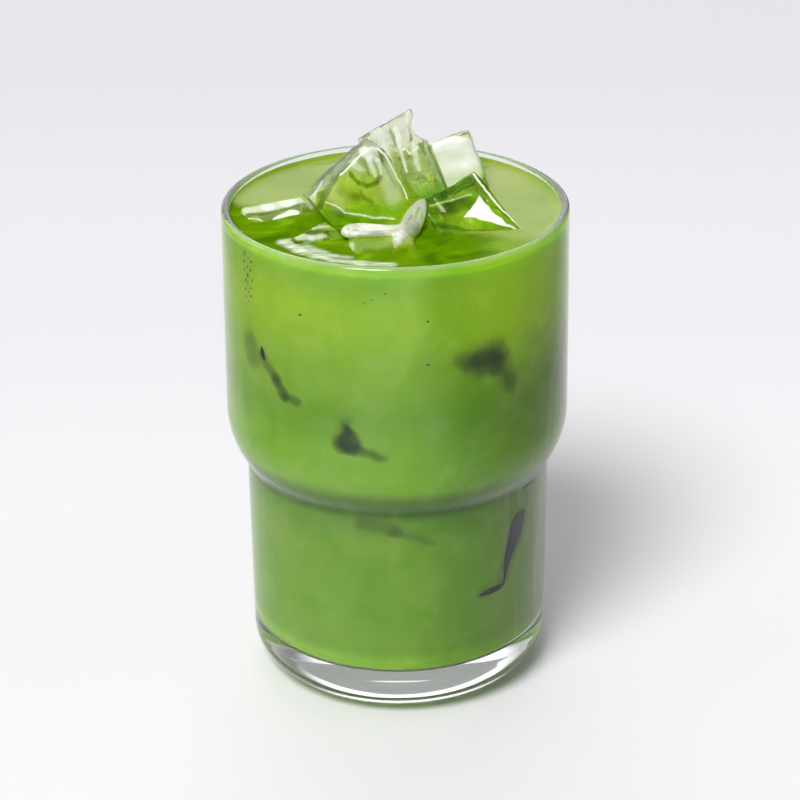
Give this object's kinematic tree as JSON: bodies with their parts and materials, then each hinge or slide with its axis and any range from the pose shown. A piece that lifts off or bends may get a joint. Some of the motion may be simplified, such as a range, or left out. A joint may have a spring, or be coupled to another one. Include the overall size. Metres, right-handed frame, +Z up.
{
  "type": "iced matcha drink in a stackable glass",
  "caption": "Iced green tea drink, filled to the brim of a clear stackable glass with a stepped body, with clear ice standing out of the top.",
  "frame": {"origin": "middle of the glass's foot, on its axis, at the level that it stands on", "axes": "+Z up along the glass's axis; the side shown in front faces -Y, with +X to the right"},
  "size_m": [0.0825, 0.0824, 0.1382],
  "materials": {
    "clear_glass": "clear, polished pressed glass",
    "matcha_drink": "cloudy green liquid with a wet surface",
    "clear_ice": "clear melting ice, wet and uneven"
  },
  "bodies": {
    "root": {"glass": "clear_glass", "drink": "matcha_drink", "ice_centre": "clear_ice", "ice_peak": "clear_ice", "ice_back": "clear_ice", "ice_right": "clear_ice", "ice_front": "clear_ice", "ice_front_left": "clear_ice", "ice_left": "clear_ice"}
  },
  "joints": []
}
